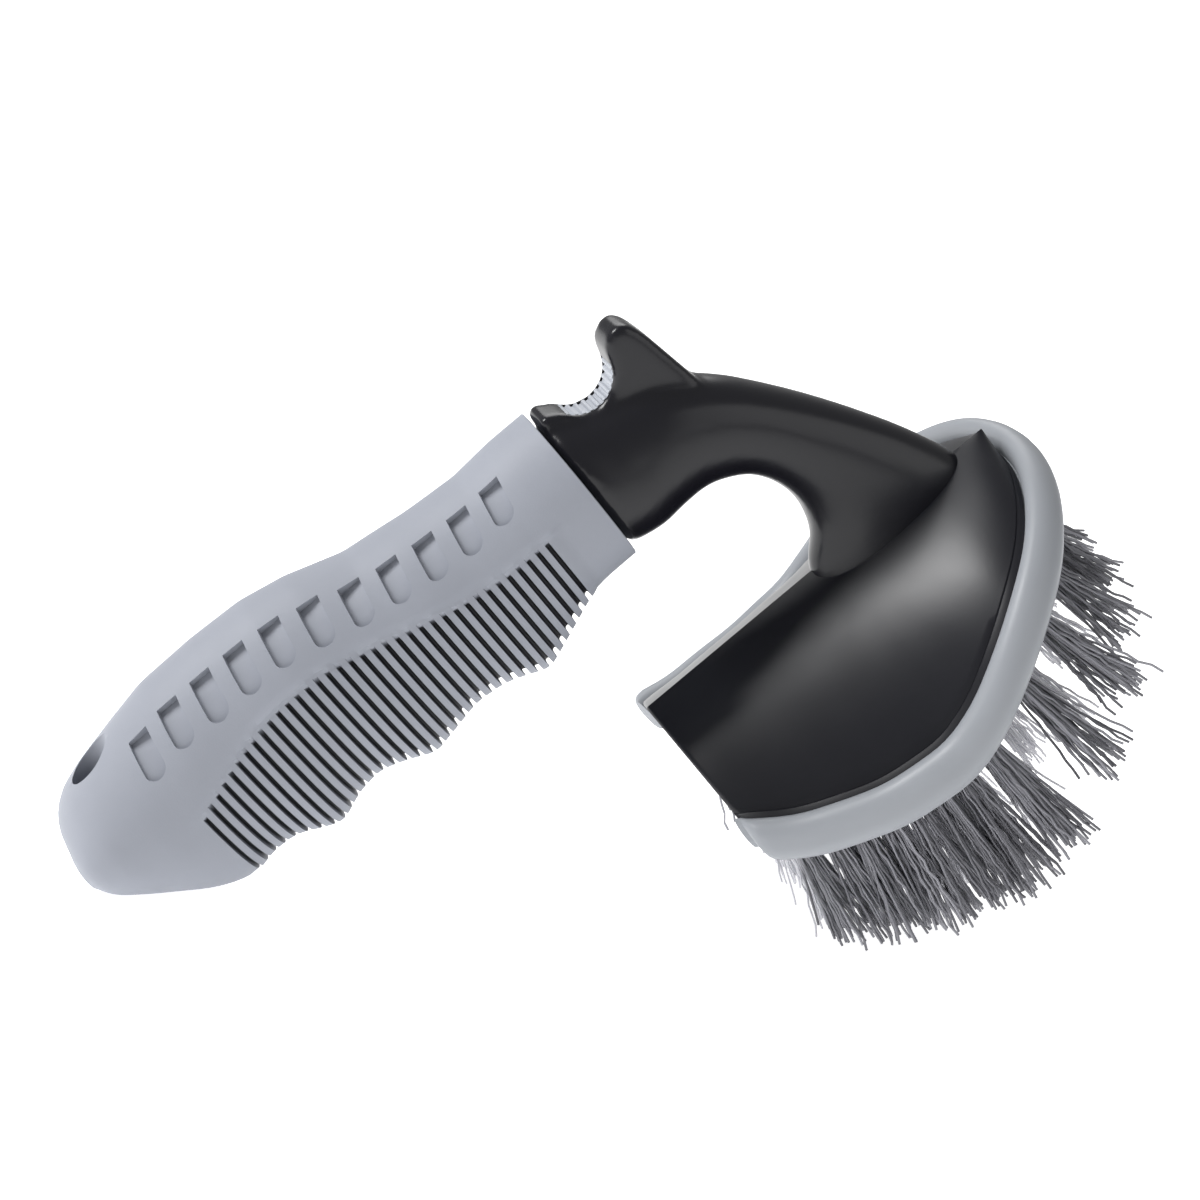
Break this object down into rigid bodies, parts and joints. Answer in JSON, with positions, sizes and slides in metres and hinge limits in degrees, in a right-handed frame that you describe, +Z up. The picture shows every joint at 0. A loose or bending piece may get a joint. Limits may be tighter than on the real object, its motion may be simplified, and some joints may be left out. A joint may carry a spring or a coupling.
{
  "type": "wheel brush",
  "caption": "Hand wheel brush with a ribbed rubber grip, bent plastic neck with a thumb rest, and a D-shaped head with a rubber bumper and fanned bristle tufts.",
  "frame": {"origin": "centre of the bottom of the bounding box, on the surface the brush lies on", "axes": "+X from the grip towards the head, +Y across the head, +Z up, with the brush lying on its butt and rear bristles"},
  "size_m": [0.2252, 0.1, 0.1279],
  "materials": {
    "grip_rubber": "matte moulded rubber, bluish grey",
    "neck_plastic": "gloss moulded black",
    "pad_rubber": "matte moulded rubber, light grey",
    "shell_plastic": "satin-gloss moulded black",
    "bumper_rubber": "smooth moulded rubber, light grey",
    "block_plastic": "plain moulded black",
    "grey_filament": "crimped polymer filament, grey",
    "white_filament": "crimped polymer filament, white",
    "anchor_metal": "plain flat staple metal",
    "screw_steel": "zinc-plated steel"
  },
  "bodies": {
    "root": {"grip_sleeve": "grip_rubber", "handle_core": "neck_plastic", "thumb_pad": "pad_rubber", "head_shell": "shell_plastic", "bumper": "bumper_rubber", "bristle_block": "block_plastic", "outer_tufts": "grey_filament", "middle_tufts": "white_filament", "white_tufts": "white_filament", "tuft_anchors": "anchor_metal", "neck_screws": "screw_steel", "block_screws": "screw_steel"}
  },
  "joints": []
}
